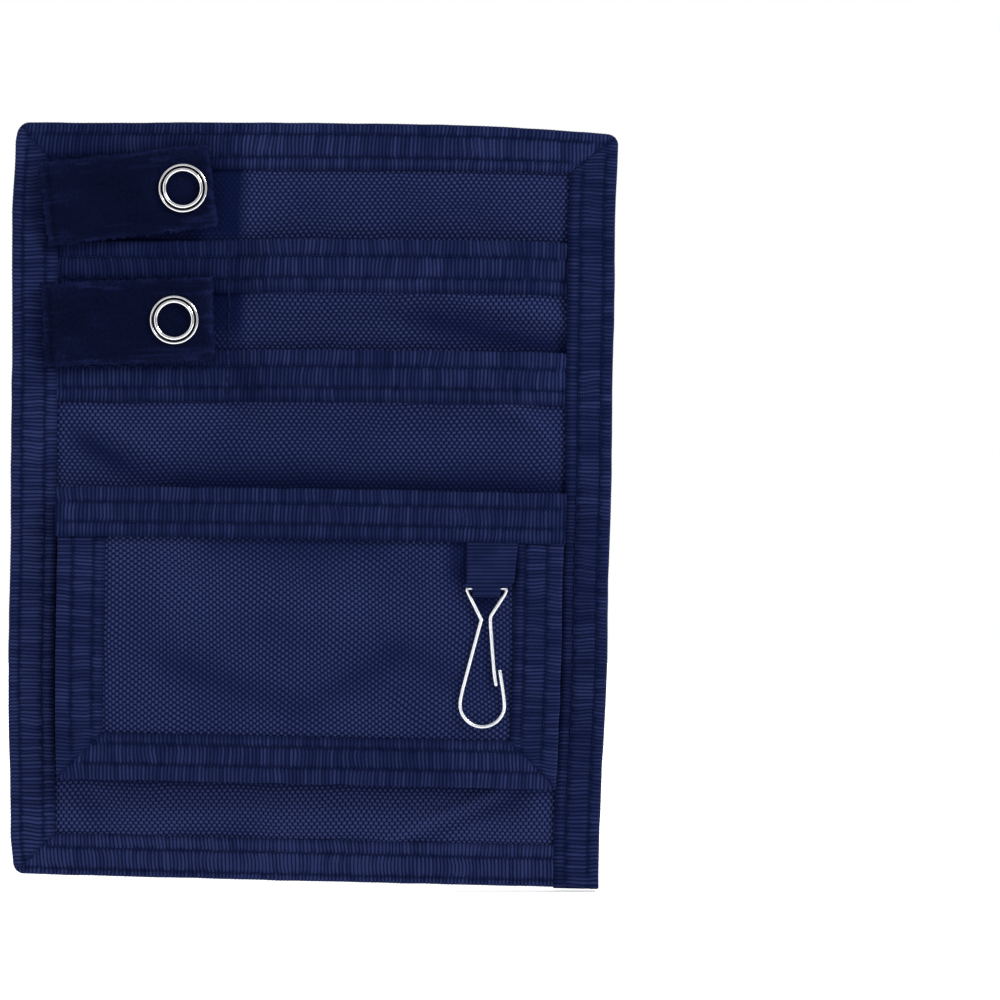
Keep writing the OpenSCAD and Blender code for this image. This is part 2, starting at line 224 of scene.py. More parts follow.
def crease(x, z, start, end, width, height):
    """A soft ridge (or valley, with a negative height) from one point to another."""
    run = np.array(end, float) - np.array(start, float)
    length = np.hypot(*run)
    along = ((x - start[0]) * run[0] + (z - start[1]) * run[1]) / length
    off = ((x - start[0]) * run[1] - (z - start[1]) * run[0]) / length
    fade = smooth(along / (0.3 * length)) * smooth((length - along) / (0.3 * length))
    return height * np.exp(-((off / width) ** 2)) * fade


def creases(x, z, *runs):
    """Several creases, each given as (start, end, width, height)."""
    return sum(crease(x, z, *run) for run in runs)


# ---------------- meshes

def piece(name, verts, faces, materials, indices=None, tone=None, tidy=True):
    """A mesh object; tone is the share of full colour at each point, for pattern, lint and painted light and
    shade.
    """
    mesh = bpy.data.meshes.new(name)
    mesh.from_pydata(verts.reshape(-1, 3).tolist(), [], faces.tolist())
    if tone is not None:
        values = np.ravel(tone).astype(np.float32)
        mesh.attributes.new("tone", "FLOAT", "POINT").data.foreach_set("value", values)
    for material in materials:
        mesh.materials.append(material)
    if indices is not None:
        mesh.polygons.foreach_set("material_index", np.asarray(indices, np.int32))
    if tidy:
        bm = bmesh.new()
        bm.from_mesh(mesh)
        bmesh.ops.remove_doubles(bm, verts=bm.verts, dist=2e-6)
        bmesh.ops.dissolve_degenerate(bm, edges=bm.edges, dist=1e-6)
        bmesh.ops.recalc_face_normals(bm, faces=bm.faces)
        bm.to_mesh(mesh)
        bm.free()
    mesh.polygons.foreach_set("use_smooth", [True] * len(mesh.polygons))
    mesh.update()
    obj = bpy.data.objects.new(name, mesh)
    bpy.context.scene.collection.objects.link(obj)
    return obj


def grid_faces(nu, nv, first=0, wrap=False):
    i, j = np.meshgrid(np.arange(nu - 1), np.arange(nv if wrap else nv - 1), indexing="ij")
    n = (j + 1) % nv
    quads = np.stack([i * nv + j, (i + 1) * nv + j, (i + 1) * nv + n, i * nv + n], axis=-1)
    return quads.reshape(-1, 4) + first


def slab(name, outer, inner, materials, column_material=None, tone=None):
    """A closed sheet between two grids of points; the rims join them."""
    nu, nv, _ = outer.shape
    count = nu * nv
    front = grid_faces(nu, nv)
    back = grid_faces(nu, nv, count)[:, ::-1]
    across = np.arange(nu - 1) * nv
    along = np.arange(nv - 1)
    edges = ((across, nv), (across + nv - 1, nv), (along, 1), (along + (nu - 1) * nv, 1))
    rims = [np.stack([a, a + step, a + step + count, a + count], -1) for a, step in edges]
    faces = np.concatenate([front, back, *rims])
    indices = None
    if column_material is not None:
        per_face = np.tile(column_material[:-1], nu - 1)
        indices = np.zeros(len(faces), int)
        indices[:len(per_face)] = per_face
    points = np.concatenate([outer.reshape(-1, 3), inner.reshape(-1, 3)])
    if tone is not None:
        tone = np.concatenate([np.ravel(tone), np.ravel(tone)])
    return piece(name, points, faces, materials, indices, tone)


def tube(name, path, radius, material, sides=16):
    """A round wire with rounded ends along a path of world points in millimetres."""
    path = np.asarray(path, float)
    heading = np.gradient(path, axis=0)
    heading /= np.linalg.norm(heading, axis=1)[:, None]
    side = np.cross(heading, [0, 1, 0])
    side /= np.linalg.norm(side, axis=1)[:, None]
    up = np.cross(side, heading)
    reach = radius * np.array([1, 0.95, 0.75])[:, None]
    tip = np.array([0, 0.5, 0.86])
    centres = np.concatenate([path[0] - heading[0] * reach, path, path[-1] + heading[-1] * reach[::-1]])
    share = np.concatenate([tip, np.ones(len(path)), tip[::-1]])
    side = np.pad(side, ((3, 3), (0, 0)), "edge")
    up = np.pad(up, ((3, 3), (0, 0)), "edge")
    a = 2 * np.pi * np.arange(sides) / sides
    ring = np.cos(a)[None, :, None] * side[:, None, :] + np.sin(a)[None, :, None] * up[:, None, :]
    points = centres[:, None, :] + ring * (radius * share)[:, None, None]
    return piece(name, points * MM, grid_faces(len(centres), sides, wrap=True), [material])


def distances(path):
    """How far along a path each of its points is."""
    return np.concatenate([[0], np.cumsum(np.hypot(*np.diff(path, axis=0).T))])


def spline(points, steps=10):
    """A smooth curve through points (Catmull-Rom)."""
    p = np.asarray(points, float)
    p = np.concatenate([[2 * p[0] - p[1]], p, [2 * p[-1] - p[-2]]])
    out = []
    for i in range(1, len(p) - 2):
        for t in np.linspace(0, 1, steps, endpoint=False):
            a = 2 * p[i]
            b = p[i + 1] - p[i - 1]
            c = 2 * p[i - 1] - 5 * p[i] + 4 * p[i + 1] - p[i + 2]
            e = -p[i - 1] + 3 * p[i] - 3 * p[i + 1] + p[i + 2]
            out.append(0.5 * (a + b * t + c * t * t + e * t ** 3))
    return np.array(out + [p[-2]])


# ---------------- materials

def feed(node, sockets):
    """Sets a node's named inputs: another node's output is linked, and a plain value is kept."""
    for name, value in sockets.items():
        socket = node.inputs[name]
        if isinstance(value, bpy.types.NodeSocket):
            node.id_data.links.new(value, socket)
        else:
            socket.default_value = value


def add_node(tree, kind, sockets):
    node = tree.nodes.new(f"ShaderNode{kind}")
    feed(node, sockets)
    return node


class Shader:
    """A principled material with short calls for the maths of its pattern."""

    def __init__(self, name):
        self.material = bpy.data.materials.new(name)
        self.material.use_nodes = True
        self.tree = self.material.node_tree
        self.bsdf = next(n for n in self.tree.nodes if n.type == "BSDF_PRINCIPLED")
        self.places = self.add("TexCoord").outputs["Object"]
        split = self.add("SeparateXYZ", Vector=self.places)
        self.x, self.y, self.z = (self.times(split.outputs[i], 1000) for i in range(3))

    def add(self, kind, **sockets):
        return add_node(self.tree, kind, sockets)

    def math(self, operation, *values):
        node = self.add("Math")
        node.operation = operation
        feed(node, dict(enumerate(values)))
        return node.outputs[0]

    def times(self, a, b):
        return self.math("MULTIPLY", a, b)

    def plus(self, a, b):
        return self.math("ADD", a, b)

    def line(self, a, slope, start):
        return self.math("MULTIPLY_ADD", a, slope, start)

    def wave(self, place, pitch, shift=0.0):
        """A sine from -1 to 1 along a place in millimetres."""
        return self.math("SINE", self.line(place, 2 * math.pi / pitch, shift))

    def noise(self, size, detail=2.0, rough=0.5, stretch=(1, 1, 1)):
        """Noise from 0 to 1 with features of the given size in millimetres."""
        mapping = self.add("Mapping", Vector=self.places, Scale=[1000 / size / s for s in stretch])
        node = self.add("TexNoise", Vector=mapping.outputs[0], Scale=1.0, Detail=detail, Roughness=rough)
        return node.outputs["Fac"]

    def tone(self):
        node = self.add("Attribute")
        node.attribute_name = "tone"
        return node.outputs["Fac"]

    def blend(self, share, a, b):
        node = self.add("Mix")
        node.data_type = "RGBA"
        feed(node, {"Factor": share, "A": (*a, 1), "B": (*b, 1)})
        return node.outputs["Result"]

    def ramp(self, value, low_end, high_end):
        limits = {"Value": value, "From Min": low_end, "From Max": high_end}
        return self.add("MapRange", **limits).outputs["Result"]

    def finish(self, colour, roughness, bump=None, bump_mm=0.1, specular=0.0, metallic=0.0):
        feed(self.bsdf, {"Base Color": colour, "Roughness": roughness, "Metallic": metallic,
                         "Specular IOR Level": specular})
        if bump is not None:
            node = self.add("Bump", Height=bump, Distance=bump_mm * MM, Strength=1.0)
            feed(self.bsdf, {"Normal": node.outputs[0]})
        return self.material


def nylon(name, across_pitch, up_pitch, ridges):
    """Basket-weave ballistic nylon: staggered yarn crossings joined into ridges along one axis."""
    s = Shader(name)
    wobble = s.times(s.noise(14, 1), 1.6)
    across = s.plus(s.x, wobble)
    up = s.plus(s.z, wobble)
    cell = s.times(s.wave(across, across_pitch), s.wave(up, up_pitch))
    place, pitch = (across, across_pitch) if ridges == "up" else (up, up_pitch)
    ridge = s.times(s.wave(place, pitch / 2, -math.pi / 2), 0.35)
    yarn = s.ramp(s.plus(cell, ridge), -0.55, 0.95)
    patchy = s.line(s.noise(16, 3), 0.8, 0.6)
    threads = s.line(s.noise(0.45, 2, 0.6, (2.2, 1, 1)), 0.8, 0.6)
    level = s.times(s.times(yarn, patchy), s.times(threads, s.tone()))
    colour = s.blend(level, (0.0022, 0.0050, 0.029), (0.0295, 0.0405, 0.122))
    return s.finish(colour, 0.8, yarn, 0.10, specular=0.02)


def grosgrain():
    """Ribbed tape: the ribs are in the mesh and darken between, and the shader adds yarns."""
    s = Shader("navy_grosgrain")
    yarns = s.line(s.noise(0.4, 3, 0.65), 1.0, 0.5)
    patchy = s.line(s.noise(9, 3), 0.8, 0.6)
    level = s.times(s.tone(), s.times(yarns, patchy))
    colour = s.blend(level, (0.0014, 0.0038, 0.023), (0.0195, 0.028, 0.094))
    return s.finish(colour, 0.8, yarns, 0.04, specular=0.02)


def twill():
    """The rear cloth's steep diagonal lines, each broken into short floats."""
    s = Shader("navy_twill")
    lean = s.line(s.z, -0.5, s.x)
    wobble = s.times(s.noise(5, 2), 0.5)
    lines = s.wave(s.plus(lean, wobble), 0.96)
    floats = s.wave(s.line(s.x, 0.25, s.z), 1.1)
    body = s.line(lines, 0.25, 0.45)
    tone = s.line(floats, 0.20, body)
    patchy = s.line(s.noise(14, 3, 0.6, (0.6, 1, 2.2)), 2.0, -0.05)
    grain = s.line(s.noise(0.5, 2, 0.6), 0.9, 0.55)
    level = s.times(s.times(tone, patchy), grain)
    colour = s.blend(level, (0.0016, 0.0018, 0.010), (0.0150, 0.0178, 0.058))
    return s.finish(colour, 0.8, tone, 0.12, specular=0.02)


def satin(name, dark, light):
    """Smooth tape with very fine ribs across it."""
    s = Shader(name)
    ribs = s.line(s.wave(s.z, 0.55), 0.5, 0.5)
    fine = s.noise(0.4, 3, 0.6, (4, 4, 1))
    patchy = s.noise(12, 3)
    wear_and_shade = s.times(s.line(ribs, 0.12, 0.7), s.line(patchy, 0.4, 0.8))
    grainy = s.times(s.line(fine, 0.3, wear_and_shade), s.tone())
    return s.finish(s.blend(grainy, dark, light), 0.7, s.plus(ribs, fine), 0.02, specular=0.04)


def velour():
    """Brushed loop pile, near black."""
    s = Shader("dark_velour")
    pile = s.noise(0.45, 4, 0.7)
    brushed = s.noise(5, 3, 0.6, (2.5, 2.5, 1))
    level = s.times(s.ramp(pile, 0.25, 0.8), s.line(brushed, 1.0, 0.3))
    level = s.times(level, s.line(s.tone(), 1.0, 0.6))
    colour = s.blend(level, (0.0004, 0.0011, 0.0080), (0.0064, 0.0102, 0.046))
    return s.finish(colour, 0.9, pile, 0.16, specular=0.03)


def hook_tape():
    """Rows of tiny moulded hooks."""
    s = Shader("dark_hook_tape")
    rows = s.times(s.wave(s.x, HOOK_PITCH[0]), s.wave(s.z, HOOK_PITCH[1]))
    colour = s.blend(s.ramp(rows, -0.6, 0.9), (0.003, 0.004, 0.016), (0.016, 0.02, 0.06))
    return s.finish(colour, 0.6, s.plus(rows, s.noise(0.6)), 0.25, specular=0.08)


def thread(name, colour):
    s = Shader(name)
    twist = s.line(s.wave(s.plus(s.x, s.plus(s.z, s.y)), 0.35), 0.5, 0.5)
    dark = tuple(0.45 * c for c in colour)
    return s.finish(s.blend(twist, dark, colour), 0.7, twist, 0.04, specular=0.03)


def bright_metal(name, colour, roughness):
    """Plated metal with faint smudges and drawing marks."""
    s = Shader(name)
    smudge = s.noise(1.6, 4, 0.6)
    grain = s.noise(0.25, 2, 0.5, (1, 1, 4))
    rough = s.line(smudge, 0.12, s.line(grain, 0.05, roughness))
    dull = tuple(0.82 * c for c in colour)
    return s.finish(s.blend(s.ramp(smudge, 0.35, 0.7), colour, dull), rough, grain, 0.001, 0.5, metallic=1.0)


def snap_metal():
    """The snaps' plate, with a painted dark reflection in the groove between their two beads."""
    s = Shader("bright_snap")
    nearest = None
    for node in ("upper_snap_ring", "lower_snap_ring"):
        middle = (low(node) + high(node)) / 2
        across = s.math("SUBTRACT", s.x, float(middle[0]))
        up = s.math("SUBTRACT", s.z, float(middle[2]))
        squares = s.plus(s.times(across, across), s.times(up, up))
        radius = s.math("SQRT", squares)
        nearest = radius if nearest is None else s.math("MINIMUM", nearest, radius)
    outer = (high("upper_snap_ring")[0] - low("upper_snap_ring")[0]) / 2
    # Painted reflection: the groove between the beads is painted dark, where the plate would mirror the dim
    # room straight ahead.
    off_groove = s.math("ABSOLUTE", s.math("SUBTRACT", nearest, outer - 0.75))
    plain_metal = s.ramp(off_groove, 0.22, 0.36)
    in_disc = s.ramp(nearest, outer - 2.4, outer - 2.0)
    plain_metal = s.math("MAXIMUM", plain_metal, s.math("SUBTRACT", 1.0, in_disc))
    smudge = s.noise(1.6, 4, 0.6)
    rough = s.line(smudge, 0.12, 0.10)
    colour = s.blend(plain_metal, (0.006, 0.008, 0.03), (0.88, 0.88, 0.90))
    return s.finish(colour, rough, smudge, 0.01, 0.5, metallic=1.0)


NYLON = nylon("navy_nylon", 1.24, 1.66, "across")
TURNED_NYLON = nylon("navy_nylon_turned", 1.66, 1.24, "up")
GROSGRAIN = grosgrain()
TWILL = twill()
SATIN = satin("navy_satin", (0.002, 0.0023, 0.010), (0.0158, 0.0165, 0.051))
BELT_SATIN = satin("belt_satin", (0.0025, 0.003, 0.018), (0.0155, 0.0178, 0.056))
VELOUR = velour()
HOOK_TAPE = hook_tape()
THREAD = thread("navy_thread", (0.007, 0.012, 0.052))
DARK_THREAD = thread("dark_thread", (0.011, 0.016, 0.056))
REAR_THREAD = thread("rear_thread", (0.070, 0.073, 0.16))
CHROME = snap_metal()
NICKEL = bright_metal("nickel_wire", (0.84, 0.86, 0.90), 0.24)


def stands_for(obj, body, slot, *nodes):
    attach(obj, body)
    if nodes:
        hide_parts(*nodes)
    return obj


# ---------------- folded tapes and their stitches

def ribs(along, inset, bands, seed):
    """Height of the tape's ribs, which step sideways a little at each stitch row."""
    band = np.searchsorted(bands, inset)
    rng = np.random.default_rng(seed)
    shift = rng.uniform(-0.3, 0.3, len(bands) + 1)[band]
    strength = rng.uniform(0.68, 1.12, (4096, len(bands) + 1))
    phase = along / RIB_PITCH + shift + 0.35 * lattice_noise(along, inset * 2, 6, seed + 1)
    number = np.floor(phase).astype(int) % 4096
    return np.abs(np.sin(np.pi * phase)) * strength[number, band]


def from_hole(along, k):
    """0 at the needle holes of row k, rising to 1 halfway between two."""
    return np.abs(np.sin(np.pi * (along / STITCH_PITCH + ROW_SHIFT * k)))


def puckers(along, inset, rows):
    """The tape pressed down along each stitch row, deepest at the needle holes."""
    dip = np.zeros(np.broadcast(along, inset).shape)
    for k, row in enumerate(rows):
        near = np.exp(-(((inset - row) / 0.5) ** 2))
        dip -= near * (0.20 - 0.12 * from_hole(along, k) ** 0.5)
    return dip


def steady(value):
    """A shade that is the same all over."""
    return lambda x, z: np.full(np.broadcast(x, z).shape, float(value))


def needle_holes(along, inset, rows):
    """How near a place is to a needle hole, from 0 to 1."""
    near = np.zeros(np.broadcast(along, inset).shape)
    for k, row in enumerate(rows):
        off = STITCH_PITCH / np.pi * from_hole(along, k)
        near = np.maximum(near, np.exp(-(((inset - row) / 0.7) ** 2) - (off / 0.9) ** 2))
    return near


class Tape:
    """A tape folded over an edge. start and end are (x, z) on the fold, inward points to the cloth,
    front and rear give the depth of its outer surfaces, and cuts say how each end is mitred."""

    def __init__(self, name, start, end, inward, width, front, rear, rows, cuts=(0, 0), shade=None,
                 seed=1):
        self.name = name
        self.start = np.array(start, float)
        run = np.array(end, float) - self.start
        self.length = float(np.hypot(*run))
        self.run = run / self.length
        self.inward = np.array(inward, float)
        self.width = width
        self.front = front
        self.rear = rear
        self.rows = rows
        self.cuts = cuts
        self.shade = shade or steady(1)
        self.seed = seed

    def place(self, along, inset):
        x = self.start[0] + self.run[0] * along + self.inward[0] * inset
        z = self.start[1] + self.run[1] * along + self.inward[1] * inset
        return x, z

    def clipped(self, along, inset):
        return np.clip(along, self.cuts[0] * inset, self.length - self.cuts[1] * inset)

    def clear_of_ends(self, along, inset):
        """Distance from the nearest mitred or butted end, and from the inner edge."""
        ends = np.minimum(along - self.cuts[0] * inset, self.length - self.cuts[1] * inset - along)
        return np.minimum(ends, (self.width - inset) * 2)

    def build(self, materials):
        """The folded tape as a closed sheet; a second material is used on its rear leg."""
        fold = 0.75
        step = RIB_PITCH / 5
        thick = 0.45
        stops = [fold, self.width]
        stops += [row + off for row in self.rows for off in (-1.0, -0.5, -0.25, 0, 0.25, 0.5, 1.0)]
        stops += list(np.linspace(fold, self.width, 8)[1:-1])
        insets = np.array(sorted(set(round(s, 3) for s in stops if fold <= s <= self.width)))
        angles = np.linspace(0, np.pi, 7)[1:-1]
        inset = np.concatenate([insets[::-1], fold - fold * np.sin(angles), insets])
        turn = np.concatenate([np.zeros(len(insets)), angles, np.full(len(insets), np.pi)])
        count = int(self.length / step) + 1
        along = np.linspace(0, self.length, count)[:, None] + np.zeros(len(inset))[None, :]
        inset = inset[None, :] + np.zeros_like(along)
        turn = turn[None, :] + np.zeros_like(along)
        along = self.clipped(along, inset)
        x, z = self.place(along, inset)
        share = (1 - np.cos(turn)) / 2
        depth = between(self.front(x, z), self.rear(x, z), share)
        rib = ribs(along, inset, self.rows, self.seed)
        on_front = 1 - smooth((turn / np.pi - 0.7) / 0.2)
        tone = on_front * rib ** 1.8 + 1 - on_front
        # Painted shade: the tape is darker in the dips along its stitch rows and at the needle holes.
        tone *= 1 - 1.2 * np.clip(-puckers(along, inset, self.rows), 0, 0.5)
        holes = needle_holes(along, inset, self.rows)
        tone *= 1 - 0.95 * holes * (0.75 + 0.25 * lattice_noise(along, inset, 4, self.seed + 7))
        tone *= 1 - 0.45 * np.exp(-((self.clear_of_ends(along, inset) / 0.8) ** 2))
        tone *= 1 + 0.25 * lattice_noise(along, inset / 2, 2, self.seed + 5)
        tone *= 1 + 0.15 * lattice_noise(along, inset, 11, self.seed + 6)
        # The caller's painted shade, and a painted highlight where the tape turns over its fold.
        tone *= self.shade(x, z) * (1 + 0.35 * np.sin(turn) ** 2)
        raised = (0.11 - 0.08 * np.sin(turn) ** 2) * rib + puckers(along, inset, self.rows) - 0.12 * holes
        raised += 0.05 * lattice_noise(x, z, 5, self.seed + 9)
        smooth_side = 0.3 + 0.7 * on_front + 0.8 * np.sin(turn) ** 2
        raised = raised * smooth_side - 0.08

        def shell(rise):
            outward = np.sin(turn) * rise
            return in_world(x - self.inward[0] * outward, z - self.inward[1] * outward,
                            depth + np.cos(turn) * rise)

        column_material = (turn[0] > 0.9 * np.pi).astype(int) if len(materials) > 1 else None
        return slab(self.name, shell(raised), shell(-thick), materials, column_material, tone)

    def lay(self, node, materials=None):
        """Makes the tape's piece in the place of its CAD node."""
        obj = self.build(materials or [GROSGRAIN])
        stands_for(obj, "root", "navy_grosgrain", node)
        return self

    def stitches(self, on_rear=False):
        """Centre and heading of each stitch on one face, in layer places."""
        out = []
        for k, row in enumerate(self.rows):
            first = self.cuts[0] * row + 1.0
            last = self.length - self.cuts[1] * row - 1.0
            shift = ROW_SHIFT * k
            number = np.arange(math.ceil(first / STITCH_PITCH + shift), int(last / STITCH_PITCH + shift))
            ends = [(number + e - shift) * STITCH_PITCH for e in (0.13, 0.87)]
            places = [self.place(a, row) for a in ends]
            depths = [(self.rear if on_rear else self.front)(px, pz) for px, pz in places]
            for n in range(len(number)):
                out.append([(places[e][0][n], places[e][1][n], depths[e][n]) for e in (0, 1)])
        return out


def stitching(name, runs, material, side=1, radius=0.15, lift=0.0):
    """Thread for a list of stitches; side is 1 on a front face and -1 on a rear one."""
    runs = np.array(runs, float)
    rings = 6
    sides = 6
    rng = np.random.default_rng(len(runs))
    t = np.linspace(0, 1, rings)
    a = 2 * np.pi * np.arange(sides) / sides
    wander = rng.normal(0, 0.07, (len(runs), 2, 2))
    start = runs[:, 0, :] + np.pad(wander[:, 0], ((0, 0), (0, 1)))
    end = runs[:, 1, :] + np.pad(wander[:, 1], ((0, 0), (0, 1)))
    mid = start[:, None, :] + (end - start)[:, None, :] * t[None, :, None]
    rise = 0.20 * np.sin(np.pi * t) ** 0.5 - 0.15 + lift
    mid[:, :, 2] += side * rise[None, :]
    run = (end - start)[:, :2]
    run /= np.linalg.norm(run, axis=1)[:, None]
    cross = np.stack([-run[:, 1], run[:, 0]], axis=-1)
    girth = radius * np.array([0.45, 0.9, 1, 1, 0.9, 0.45])
    points = np.repeat(mid[:, :, None, :], sides, axis=2)
    points[..., :2] += (np.cos(a)[None, None, :, None] * girth[None, :, None, None]) * cross[:, None, None, :]
    points[..., 2] += np.sin(a)[None, None, :] * girth[None, :, None]
    world = in_world(points[..., 0], points[..., 1], points[..., 2])
    one = grid_faces(rings, sides, wrap=True)
    faces = np.concatenate([one + k * rings * sides for k in range(len(runs))])
    caps = []
    for k in range(len(runs)):
        base = k * rings * sides
        tip = base + (rings - 1) * sides
        for q in (0, 2):
            caps.append([base + (q + 3) % sides, base + (q + 2) % sides, base + (q + 1) % sides, base + q])
            caps.append([tip + q, tip + (q + 1) % sides, tip + (q + 2) % sides, tip + (q + 3) % sides])
    obj = piece(name, world, np.concatenate([faces, np.array(caps)]), [material], tidy=False)
    return stands_for(obj, "root", "navy_thread")


def edge_front(x, z):
    """The binding rides up from the base panel alone to all the pocket sheets."""
    thin = BASE_D + FABRIC + TAPE
    return between(thin, EDGE_FRONT_D, smooth((UPPER_MOUTH + 10 - z) / 18))


def edge_rear(x, z):
    return np.zeros(np.broadcast(x, z).shape) - TAPE


EDGE_ROWS = (2.8, 8.1)
LOW_EDGE_ROWS = (1.7, 6.4)
MOUTH_ROWS = (3.9, 8.8)
FRAME_ROWS = (3.7, 8.6)


def edge_tapes():
    lean = LOW_EDGE_W / EDGE_W
    sides = {
        "top": ((LEFT, TOP), (RIGHT, TOP), (0, -1), (1, 1)),
        "left": ((LEFT, BOTTOM), (LEFT, TOP), (1, 0), (lean, 1)),
        "right": ((RIGHT, BOTTOM), (RIGHT, TOP), (-1, 0), (0, 1)),
        "bottom": ((LEFT, BOTTOM), (INNER_RIGHT + 1.5, BOTTOM), (0, 1), (1 / lean, 0)),
    }
    tapes = []
    for k, (side, (start, end, inward, cuts)) in enumerate(sides.items()):
        lift = 0.12 if side == "right" else 0
        # Painted light and shade: each side of the binding is painted paler or darker, and darker again near
        # the straps.
        pale = {"right": 0.76, "left": 1.22, "bottom": 1.38}.get(side, 1.04)
        width = LOW_EDGE_W if side == "bottom" else EDGE_W
        rows = LOW_EDGE_ROWS if side == "bottom" else EDGE_ROWS
        front = (lambda x, z, lift=lift: edge_front(x, z) + lift)
        shade = (lambda x, z, pale=pale: pale - 0.6 * near_straps(x, z))
        name = f"edge_tape_{side}"
        tape = Tape(name, start, end, inward, width, front, edge_rear, rows, cuts, shade, 20 + k)
        tapes.append(tape.lay(f"edge_binding_{side}", [GROSGRAIN, SATIN]))
    stitching("edge_stitches_front", [s for t in tapes for s in t.stitches()], THREAD)
    stitching("edge_stitches_rear", [s for t in tapes for s in t.stitches(True)], REAR_THREAD, -1, 0.27, 0.14)


def mouth_tape(name, mouth, sheet_d, node, seed):
    def front(x, z):
        return sheet_d + FABRIC + TAPE + GAPE * gaping(x, np.minimum(z, mouth), mouth)

    def rear(x, z):
        share = gaping(x, np.minimum(z, mouth), mouth)
        return sheet_d + GAPE * share - 0.3 - 0.3 * share

    start = (INNER_LEFT - 0.6, mouth + TAPE)
    end = (INNER_RIGHT + 0.6, mouth + TAPE)
    # Painted shade: the mouth bindings are darker near the straps.
    shade = (lambda x, z: 0.8 - 0.5 * near_straps(x, z))
    tape = Tape(name, start, end, (0, -1), MOUTH_TAPE_H, front, rear, MOUTH_ROWS, shade=shade, seed=seed)
    return tape.lay(node)


def framed_lift(x, z):
    """The framed pocket's front is slack: it bellies a little and its low right corner curls out."""
    corner = smooth((x - FRAMED_RIGHT + 22) / 22) * smooth((FRAMED_LOW + 20 - z) / 20)
    return 0.9 * corner + 0.15 * lattice_noise(x, z, 14, 61)


def beside_tab(x, z):
    """The hook tab keeps the light off the cloth on both sides of it."""
    middle = pivot("key_hook_swing")[0] + 1
    off = np.abs(x - middle)
    beside = smooth((10.5 - off) / 4) * smooth((z - FRAMED_MOUTH + 26) / 8)
    under = smooth((3.6 - off) / 2) * smooth((z - FRAMED_MOUTH + 33) / 6)
    return 1 - 0.8 * np.maximum(beside, under)


def framed_tapes():
    tapes = []
    thick = FABRIC + TAPE
    front = (lambda x, z: FRAMED_D + thick + framed_lift(x, z))
    rear = (lambda x, z: FRAMED_D - TAPE + framed_lift(x, z))
    shade = (lambda x, z: 0.82 * beside_tab(x, z))
    side_top = FRAMED_MOUTH - 3
    sides = {
        "left": ((FRAMED_LEFT, FRAMED_LOW), (FRAMED_LEFT, side_top), (1, 0), (1, 0)),
        "right": ((FRAMED_RIGHT, FRAMED_LOW), (FRAMED_RIGHT, side_top), (-1, 0), (1, 0)),
        "bottom": ((FRAMED_LEFT, FRAMED_LOW), (FRAMED_RIGHT, FRAMED_LOW), (0, 1), (1, 1)),
    }
    for k, (side, (start, end, inward, cuts)) in enumerate(sides.items()):
        name = f"framed_tape_{side}"
        tape = Tape(name, start, end, inward, FRAMED_TAPE_W, front, rear, FRAME_ROWS, cuts, shade, 40 + k)
        tapes.append(tape.lay(f"framed_pocket_{side}_binding"))
    over = (lambda x, z: FRAMED_D + thick + 0.45 + framed_lift(x, z))
    start = (low("framed_pocket_mouth_binding")[0], FRAMED_MOUTH + TAPE)
    end = (high("framed_pocket_mouth_binding")[0], FRAMED_MOUTH + TAPE)
    mouth = Tape("framed_tape_mouth", start, end, (0, -1), MOUTH_TAPE_H, over, rear, FRAME_ROWS,
                 shade=steady(0.78), seed=44)
    tapes.append(mouth.lay("framed_pocket_mouth_binding"))
    return tapes


# ---------------- cloth panels

def cloth(name, box, shape, material, node, slot="navy_nylon", step=1.0):
    """A flat-cut panel over box (x0, x1, z0, z1). shape gives the depth of its back, its folds and its
    painted shade. Folds are painted paler on their ridges and darker in their valleys, as painted light
    and shade; the valleys stay shallow enough to clear the sheet behind."""
    x0, x1, z0, z1 = box
    x, z = grid(x0, x1, int((x1 - x0) / step) + 1, z0, z1, int((z1 - z0) / step) + 1)
    thick = FABRIC - 0.1
    flat, folds, shade = shape(x, z)
    d = flat + np.maximum(folds, -0.3)
    # Painted light and shade: paler on fold ridges, darker in fold valleys, times the painted shade from
    # shape.
    tone = np.clip(1 + 0.5 * folds, 0.2, 1.3) * shade
    obj = slab(name, in_world(x, z, d + thick), in_world(x, z, d), [material], tone=tone)
    stands_for(obj, "root", slot, node)


